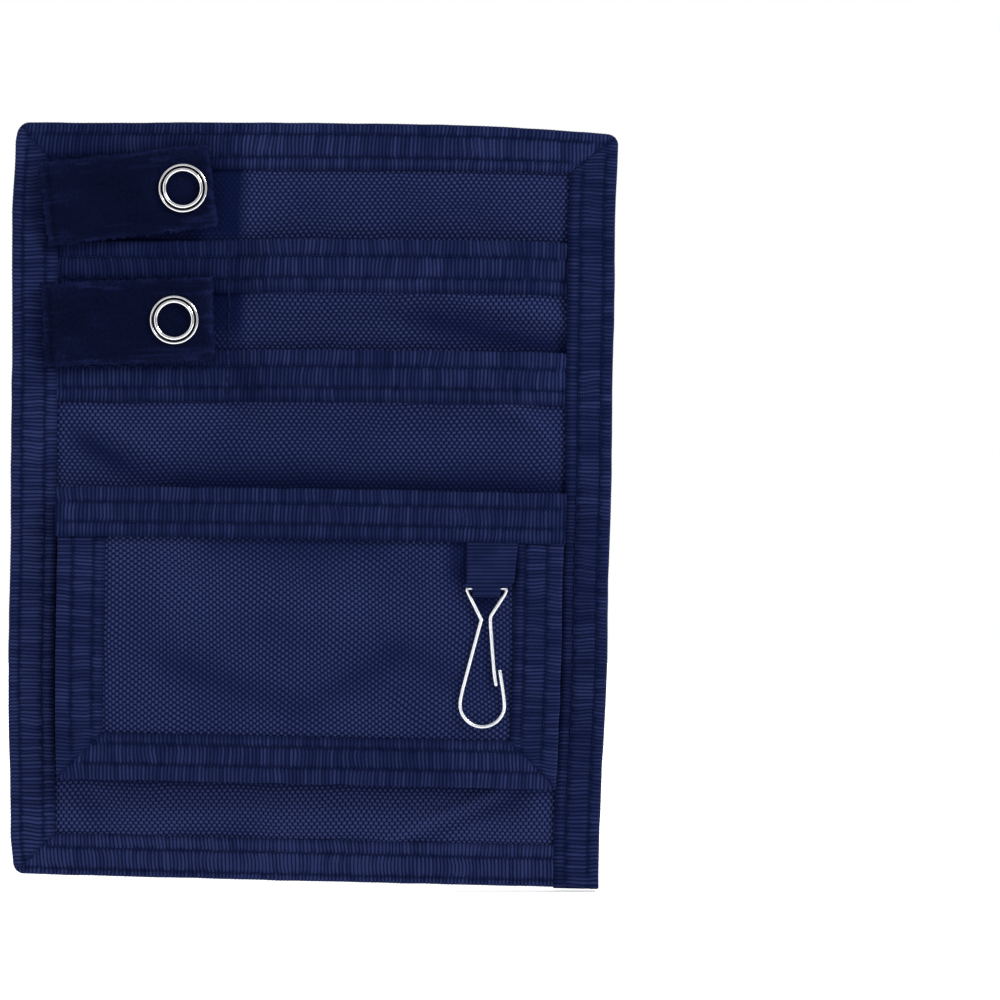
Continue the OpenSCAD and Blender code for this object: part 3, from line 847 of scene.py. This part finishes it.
def panels():
    tuck = TAPE + 0.3
    full = (LEFT + tuck, RIGHT - tuck, BOTTOM + tuck, TOP - tuck)

    # Painted shade: the cloth is darker beside and behind the velour straps.
    def strap_shade(x, z):
        return 1 - 0.95 * near_straps(x, z)

    def upper(x, z):
        folds = 0.15 * lattice_noise(x, z, 11, 3)
        folds += creases(x, z, ((10, 0), (86, -15), 2.8, -1.3), ((20, 4), (80, -7), 2.2, 0.6))
        folds *= smooth((UPPER_MOUTH - z) / 12)
        return UPPER_D + GAPE * gaping(x, z, UPPER_MOUTH), folds, strap_shade(x, z)

    def middle(x, z):
        inner = smooth((x - INNER_LEFT) / 8) * smooth((INNER_RIGHT - x) / 8)
        folds = 0.15 * lattice_noise(x, z, 12, 4)
        folds += creases(x, z, ((-74, -20), (-34, -43), 2.8, -1.6), ((-60, -22), (-28, -38), 3.0, 0.5),
                         ((34, -15), (68, -38), 1.8, 0.7), ((40, -13), (74, -33), 1.4, -0.8),
                         ((-68, -108), (-44, -126), 3.0, -0.9), ((-36, -128), (-6, -124), 2.4, -0.7),
                         ((12, -130), (56, -110), 1.3, 0.8), ((18, -131), (60, -112), 1.2, -0.8))
        # Painted shade: a shadow band where the sheet dips behind the framed pocket's mouth binding, and a
        # painted shadow line along the framed pocket's right side and foot; lit is painted light just below
        # its foot.
        reach = 4.8 + 1.6 * lattice_noise(x, 0, 16, 12)
        mouth_shadow = smooth((x + 42) / 14) * np.exp(-(((z - FRAMED_MOUTH - 1) / reach) ** 2))
        outside = np.maximum(FRAMED_LOW - z, x - FRAMED_RIGHT)
        lit = 0.5 * smooth((outside - 1.2) / 2) * smooth((FRAMED_LOW - z) / 2)
        rim = smooth(outside + 1) * smooth((1.6 - outside) / 1.4) * smooth((FRAMED_MOUTH - 20 - z) / 20)
        shade = (1 - 0.75 * mouth_shadow + lit) * (1 - 0.85 * rim)
        folds = folds * inner * smooth((MIDDLE_MOUTH - z) / 10)
        return MIDDLE_D + GAPE * gaping(x, z, MIDDLE_MOUTH), folds, shade

    def rear(x, z):
        return 0.12 + 0 * x, -0.12 * lattice_noise(x, z, 24, 1), 1

    def base(x, z):
        return BASE_D + 0 * x, 0.1 * lattice_noise(x, z, 16, 2), strap_shade(x, z)

    cloth("rear_cloth", full, rear, TWILL, "rear_panel", "navy_twill", step=1.6)
    cloth("base_cloth", full, base, NYLON, "front_base_panel", step=1.6)
    cloth("upper_pocket_cloth", (*full[:3], UPPER_MOUTH), upper, NYLON, "upper_pocket_panel")
    cloth("middle_pocket_cloth", (*full[:3], MIDDLE_MOUTH), middle, NYLON, "middle_pocket_panel")
    framed_box = (FRAMED_LEFT + tuck, FRAMED_RIGHT - tuck, FRAMED_LOW + tuck, FRAMED_MOUTH)

    def framed(x, z):
        belly = smooth((x - FRAMED_LEFT - 8) / 20) * smooth((FRAMED_RIGHT - 8 - x) / 20)
        belly = belly * smooth((z - FRAMED_LOW - 8) / 18) * smooth((FRAMED_MOUTH - 8 - z) / 18)
        folds = creases(x, z, ((-46, -79), (10, -102), 4.0, -0.9), ((-8, -102), (28, -78), 3.6, -0.7),
                        ((12, -76), (44, -94), 3.4, -0.6), ((-36, -68), (44, -72), 6.0, 0.35))
        folds += 0.2 * lattice_noise(x, z, 13, 6)
        # Painted shade: a darker band across the top middle, below the mouth binding. Towards its left the
        # cloth is paler.
        top = smooth((x + 30) / 10) * smooth((24 - x) / 10) * smooth((z - FRAMED_MOUTH + 19) / 7)
        wear_and_shade = 0.15 * smooth((-22 - x) / 8)
        shade = (0.92 - 0.45 * top + wear_and_shade) * beside_tab(x, z)
        return FRAMED_D + framed_lift(x, z) + 0.35 * belly, folds * belly, shade

    cloth("framed_cloth", framed_box, framed, TURNED_NYLON, "framed_pocket_panel")


def gusset():
    """A strip round the framed pocket's two sides and foot, folded inwards along its middle."""
    inset = 2.2
    steps = 13
    x0 = FRAMED_LEFT + inset
    x1 = FRAMED_RIGHT - inset
    z0 = FRAMED_LOW + inset
    z1 = FRAMED_MOUTH - MOUTH_TAPE_H
    corners = [(x0, z1), (x0, z0), (x1, z0), (x1, z1)]
    inwards = [(1, 0), (1, 1), (-1, 1), (-1, 0)]
    places = np.linspace(0, 3, 121)
    path = np.stack([np.interp(places, range(4), values) for values in zip(*corners)], axis=-1)
    inward = np.stack([np.interp(places, range(4), values) for values in zip(*inwards)], axis=-1)
    depth = np.linspace(MIDDLE_D + FABRIC + 0.05, FRAMED_D - TAPE + 0.2, steps)
    tuck = 1.5 * np.sin(np.pi * np.linspace(0, 1, steps)) ** 2

    def wall(off):
        shift = tuck[None, :] + off
        x = path[:, :1] + inward[:, :1] * shift
        z = path[:, 1:] + inward[:, 1:] * shift
        return in_world(x, z, depth[None, :] + framed_lift(x, z) * smooth((depth[None, :] - 5) / 3))

    shell = wall(0)
    obj = slab("gusset_cloth", shell, wall(0.4), [NYLON], tone=np.ones(shell.shape[:2]))
    stands_for(obj, "root", "navy_nylon", "framed_pocket_gusset")


# ---------------- straps, hook and belt loop

def tool_strap(which, seed):
    """A velour strap laid over the bindings, sewn at its left end and free beyond the hinge."""
    node = f"{which}_tool_strap"
    hinge = pivot(f"{which}_strap_open")
    axis = joint(f"{which}_strap_open")["axis"]
    back = REAR - high(node)[1]
    thick = high(node)[1] - low(node)[1]
    run = np.array([-axis[2], axis[0]])
    cross = np.array([-run[1], run[0]])
    spread, _, rise = high(node) - low(node)
    squareness = run[0] ** 2 - run[1] ** 2
    length = (spread * run[0] - rise * run[1]) / squareness
    width = (rise * run[0] - spread * run[1]) / squareness
    along, across = grid(0, length, 180, -width / 2, width / 2, 90)
    edge = np.minimum(np.minimum(along, length - along), width / 2 - np.abs(across))
    round_off = 1 - np.sqrt(np.clip(1 - (1 - np.clip(edge / 0.7, 0, 1)) ** 2, 0, 1))
    ragged = 0.42 * lattice_noise(along * 3, across * 3, 1.4, seed) * np.clip(1 - edge / 1.2, 0, 1)
    pile = 0.10 * lattice_noise(along * 2, across * 2, 1.1, seed + 1)
    pile += 0.16 * lattice_noise(along, across, 6, seed + 2)
    snap_x = (high(f"{which}_snap_ring")[0] + low(f"{which}_snap_ring")[0]) / 2
    dish = -0.35 * np.exp(-((np.hypot(along - snap_x + hinge[0], across) / 7.5) ** 2))
    seam = -0.45 * np.exp(-(((along - 1.6) / 0.7) ** 2))
    px = hinge[0] + run[0] * along + cross[0] * (across + ragged) + ragged * run[0]
    pz = hinge[2] + run[1] * along + cross[1] * (across + ragged) + ragged * run[1]
    top = back + thick - 0.15 + pile + dish + seam - round_off * 0.55 * thick
    bottom = back + 0.02 + round_off * 0.35 * thick

    def world(d):
        return metres(px, REAR - d, pz)

    rim = np.exp(-((edge / 1.1) ** 2)) * (1 + 0.9 * lattice_noise(along / 2, across, 1.6, seed + 3))
    rim = 0.8 * rim + 0.3 * smooth(lattice_noise(along, across, 7, seed + 4) * 2 - 0.6)
    streaks = smooth(2.4 * lattice_noise(along / 6, across * 1.6, 1, seed + 5) - 0.7)
    rim += 1.3 * streaks * np.exp(-((edge / 3.5) ** 2))
    obj = slab(f"{which}_strap_velour", world(top), world(bottom), [VELOUR], tone=rim)
    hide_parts(node)
    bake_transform(obj)


def metal_parts():
    """The snaps keep their CAD shapes and take the plated look."""
    for node in ("upper_snap_ring", "lower_snap_ring", "upper_snap_socket", "lower_snap_socket",
                 "snap_studs", "snap_stud_rings"):
        obj = frame["nodes"][node]
        for slot in obj.material_slots:
            slot.material = CHROME


def hook_wire():
    """The bent wire and its springy side, drawn out smooth."""
    centre = pivot("key_hook_swing")

    def placed(points):
        p = spline(points)
        return np.stack([centre[0] + p[:, 0], np.full(len(p), centre[1]), centre[2] + p[:, 1]], axis=-1)

    low_z = low("key_hook_wire")[2] - centre[2]
    radius = (high("key_hook_gate")[1] - low("key_hook_gate")[1]) / 2
    bow_r = 5.1
    bow_z = low_z + radius + bow_r + 0.5
    bow = [(-0.45 + bow_r * math.cos(math.radians(a)), bow_z + bow_r * math.sin(math.radians(a)))
           for a in range(172, 351, 16)]
    arms = [(1.4, -6.7), (1.5, -6.0), (2.0, -5.1), (4.2, -1.7), (4.8, -0.7), (5.0, 0.1), (4.3, 0.5), (0, 0.5),
            (-3.3, 0.5), (-3.9, 0.1), (-3.7, -0.5), (-3.2, -1.6), (-0.95, -6.2), (-0.7, -6.9), (-1.0, -7.9)]
    fixed = arms + [(-4.4, bow_z + 5.6), (-5.2, bow_z + 2.4)] + bow + [(4.5, bow_z + 1.4), (3.6, bow_z + 7.6)]
    gate = [(1.4, -6.85), (1.5, -9.0), (2.2, bow_z + 8), (2.65, bow_z + 4.6)]
    wire = tube("hook_wire", placed(fixed), radius, NICKEL)
    stands_for(wire, "key_hook", "nickel_wire", "key_hook_wire")
    spring_side = tube("hook_gate_wire", placed(gate), radius, NICKEL)
    stands_for(spring_side, "hook_gate", "nickel_wire", "key_hook_gate")


def ribbon(name, path, middle, width, thick, material, rib=0.0, across_steps=24, shade=1, seed=5):
    """A strip along a path of (y, z) points in millimetres. middle and width are given at each point
    of the path, and shade at each or once for all."""
    heading = np.gradient(path, axis=0)
    heading /= np.linalg.norm(heading, axis=1)[:, None]
    normal = np.stack([-heading[:, 1], heading[:, 0]], axis=-1)
    run = distances(path)[:, None]
    x = middle[:, None] + width[:, None] * np.linspace(-0.5, 0.5, across_steps)[None, :]
    ridge = rib * np.abs(np.sin(np.pi * run / RIB_PITCH)) ** 0.7
    ridge = ridge * (1 + 0.2 * lattice_noise(x, run * 2, 3, seed))
    soft = 0.04 * lattice_noise(x, run, 6, seed + 1)

    def shell(off):
        return metres(x, path[:, :1] + normal[:, :1] * off, path[:, 1:] + normal[:, 1:] * off)

    tone = 0.55 * (ridge / rib) ** 1.8 if rib else np.ones_like(x)
    tone = tone * np.reshape(shade, (-1, 1))
    return slab(name, shell(thick / 2 + ridge + soft), shell(-thick / 2 + soft), [material], tone=tone)


def hook_tab():
    """The tape that holds the hook, folded round its bar."""
    centre = pivot("key_hook_swing")
    tab_top = high("hook_tab")[2] + 1.5
    rear_y = REAR - FRAMED_FRONT_D - 0.1
    front_y = rear_y - 0.42
    fold_y = centre[1] + 0.1
    fold_r = 1.2
    steps = 90
    fold = [(fold_y + fold_r * math.cos(a), centre[2] - fold_r * math.sin(a))
            for a in np.radians(np.linspace(0, 180, 25))]
    down = [(between(rear_y, fold_y + fold_r, smooth(1.3 * t - 0.3)), between(tab_top, centre[2], t))
            for t in np.linspace(0, 1, steps, endpoint=False)]
    up = [(between(fold_y - fold_r, front_y, smooth(1.3 * t)), between(centre[2], tab_top, t))
          for t in np.linspace(0, 1, steps + 1)[1:]]
    path = np.array(down + fold + up)
    fold_w = 6.4
    low_w = 10.8
    top_w = 12.0
    above = path[:, 1] - centre[2]
    up_share = np.clip(above / (tab_top - centre[2]), 0, 1)
    width = fold_w + (low_w - fold_w) * smooth((above - 0.35) / 0.6) + (top_w - low_w) * up_share
    middle = centre[0] + 0.5 + 0.8 * smooth((above - 0.6) / 1.5) + 0.7 * up_share
    obj = ribbon("hook_tab_tape", path, middle, width, 0.5, GROSGRAIN, rib=0.12, seed=8)
    stands_for(obj, "root", "navy_grosgrain", "hook_tab")


def belt_loop():
    """The satin strap: sewn under the top binding, bowed over the channel, turned up at its foot."""
    hinge = pivot("belt_strap_open")
    out_y = high("belt_strap")[1] - 0.5
    foot_z = low("belt_strap")[2]
    patch_top = high("belt_strap_loop_patch")
    tail_y = patch_top[1] + 0.5
    half = 0.8
    fold = [(tail_y + half + half * math.cos(a), foot_z + half + 0.5 + half * math.sin(a))
            for a in np.radians(np.linspace(0, -180, 9))]
    key = [(REAR - 0.05, INNER_TOP + 1), (REAR + 0.1, INNER_TOP + 0.2), (REAR + 0.55, INNER_TOP - 1.2),
           (hinge[1], hinge[2]),
           (out_y - 1.6, 25), (out_y - 0.2, 21.5), (out_y, 17), (out_y, 4), (out_y, -12), (out_y - 0.1, -20),
           (tail_y + 2.2 * half, foot_z + 6)] + fold + [(tail_y, foot_z + 5), (tail_y, patch_top[2])]
    path = spline(key, 8)

    belt_w = 40
    run = distances(path)
    width = belt_w - 0.4 * np.sin(np.pi * run / run[-1])
    middle = np.full(len(path), -0.6)
    # Painted shade: the strap is darker towards its foot, where it turns under.
    wear_and_shade = 1 - 0.6 * smooth((foot_z + 11 - path[:, 1]) / 9)
    obj = ribbon("belt_strap_satin", path, middle, width, 0.9, BELT_SATIN, across_steps=60, shade=wear_and_shade,
                 seed=12)
    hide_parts("belt_strap", "belt_strap_sewn_end")
    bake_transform(obj)
    patch("belt_hook_patch", "root", HOOK_TAPE, "dark_hook_tape")
    patch("belt_strap_loop_patch", "belt_flap", VELOUR, "dark_velour")


def patch(node, body, material, slot):
    """One half of the touch fastener: a flat patch with a pile of small loops or hooks."""
    lo = low(node)
    hi = high(node)
    x, z = grid(lo[0], hi[0], 110, lo[2], hi[2], 60)
    hooks = 0.12 * np.abs(np.sin(np.pi * x / HOOK_PITCH[0]) * np.sin(np.pi * z / HOOK_PITCH[1]))
    rim = np.minimum(np.minimum(x - lo[0], hi[0] - x), np.minimum(z - lo[2], hi[2] - z))
    edge = 0.25 * np.exp(-((rim / 0.5) ** 2))
    facing = 1 if body == "root" else -1
    outer_y = hi[1] - 0.15 if body == "root" else lo[1] + 0.15
    inner_y = lo[1] if body == "root" else hi[1]
    y = outer_y + facing * (hooks - edge)
    obj = slab(f"{node}_pile", metres(x, y, z), metres(x, inner_y, z), [material], tone=np.zeros_like(x))
    stands_for(obj, body, slot, node)


def divider_stitches():
    """The row of thread that splits the two upper pockets, down to the foot of the lower binding."""
    runs = []
    x = SEAM - 0.3
    pitch = 2.6
    gap = 0.3
    spans = [(MIDDLE_MOUTH + 1, UPPER_MOUTH + TAPE - 0.5, UPPER_D),
             (MIDDLE_MOUTH + TAPE - MOUTH_TAPE_H, MIDDLE_MOUTH + TAPE - 0.5, MIDDLE_D)]
    for z0, z1, sheet_d in spans:
        for n in range(int((z1 - z0) / pitch)):
            top = z1 - pitch * n
            on_tape = z1 - top < MOUTH_TAPE_H
            d = sheet_d + FABRIC + (TAPE if on_tape else 0)
            runs.append([(x, top - gap, d), (x, top - pitch + gap, d)])
    obj = stitching("divider_stitches", runs, DARK_THREAD, radius=0.2)
    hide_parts("pocket_divider_seam")


# ---------------- studio

def lamp(name, place, target, size, power):
    data = bpy.data.lights.new(name, "AREA")
    data.shape = "SQUARE"
    data.size = size
    data.energy = power
    obj = bpy.data.objects.new(name, data)
    obj.location = place
    run = np.array(target) - np.array(place)
    from_z = -run / np.linalg.norm(run)
    pitch = math.acos(from_z[2])
    yaw = math.atan2(from_z[0], -from_z[1])
    obj.rotation_euler = (pitch, 0, yaw)
    bpy.context.scene.collection.objects.link(obj)


def studio():
    middle = (0, 0, (TOP + BOTTOM) / 2 * MM)
    lamp("key_front", (0.70, -0.62, 0.62), middle, 0.35, 8.0)
    lamp("fill_front", (-0.85, -0.70, 0.10), middle, 0.6, 1.0)
    lamp("key_rear", (-0.25, 0.80, 0.75), middle, 0.5, 6.0)
    lamp("fill_rear", (0.85, 0.70, 0.10), middle, 0.6, 1.5)
    room()


def room():
    """A white studio that is dim straight ahead and straight behind, so that metal shows its shape."""
    world = bpy.data.worlds.new("studio")
    world.use_nodes = True
    bpy.context.scene.world = world
    tree = world.node_tree
    white = (1, 1, 1, 1)
    generated = add_node(tree, "TexCoord", {}).outputs["Generated"]
    heading = add_node(tree, "SeparateXYZ", {"Vector": generated})
    ahead = add_node(tree, "Math", {0: heading.outputs["Y"]})
    ahead.operation = "ABSOLUTE"
    limits = {"Value": ahead.outputs[0], "From Min": 0.80, "From Max": 0.96, "To Min": 0.66, "To Max": 0.20}
    level = add_node(tree, "MapRange", limits)
    soft = tree.nodes["Background"]
    feed(soft, {"Color": white, "Strength": level.outputs["Result"]})
    seen = add_node(tree, "Background", {"Color": white})
    camera_ray = add_node(tree, "LightPath", {}).outputs["Is Camera Ray"]
    mix = add_node(tree, "MixShader", {0: camera_ray, 1: soft.outputs[0], 2: seen.outputs[0]})
    feed(tree.nodes["World Output"], {"Surface": mix.outputs[0]})


def floor():
    mesh = bpy.data.meshes.new("floor")
    reach = 0.9
    height = (BOTTOM - 0.8) * MM
    corners = [(x * reach, y * reach, height) for x, y in ((-1, -1), (1, -1), (1, 1), (-1, 1))]
    mesh.from_pydata(corners, [], [(0, 1, 2, 3)])
    obj = bpy.data.objects.new("floor", mesh)
    bpy.context.scene.collection.objects.link(obj)
    s = Shader("pale_floor")
    s.finish(s.blend(s.noise(60, 2), (0.80, 0.80, 0.80), (0.84, 0.84, 0.84)), 0.9)
    s.bsdf.inputs["Emission Color"].default_value = (1, 1, 1, 1)
    s.bsdf.inputs["Emission Strength"].default_value = 0.6
    mesh.materials.append(s.material)


def camera():
    """Straight on to the front, framed as the reference view is: the pouch left of the middle."""
    data = bpy.data.cameras.new("camera")
    data.lens = 100
    data.sensor_width = 36
    obj = bpy.data.objects.new("camera", data)
    framed_width = 231.5
    face_y = REAR - EDGE_FRONT_D
    distance = framed_width * data.lens / data.sensor_width
    centre_x = 43.6
    centre_z = (TOP + BOTTOM) / 2 + 1.1
    obj.location = (centre_x * MM, (face_y - distance) * MM, centre_z * MM)
    obj.rotation_euler = (math.pi / 2, 0, 0)
    data.clip_end = 20
    bpy.context.scene.collection.objects.link(obj)
    bpy.context.scene.camera = obj
    bpy.context.scene.view_settings.view_transform = "Standard"


camera()
studio()
floor()
panels()
gusset()
edge_tapes()
mouth_tapes = [
    mouth_tape("upper_mouth_tape", UPPER_MOUTH, UPPER_D, "upper_pocket_binding", 31),
    mouth_tape("middle_mouth_tape", MIDDLE_MOUTH, MIDDLE_D, "middle_pocket_binding", 32),
]
stitching("mouth_stitches", [s for t in mouth_tapes for s in t.stitches()], THREAD)
stitching("framed_stitches", [s for t in framed_tapes() for s in t.stitches()], THREAD)
divider_stitches()
tool_strap("upper", 71)
tool_strap("lower", 75)
metal_parts()
hook_tab()
hook_wire()
belt_loop()
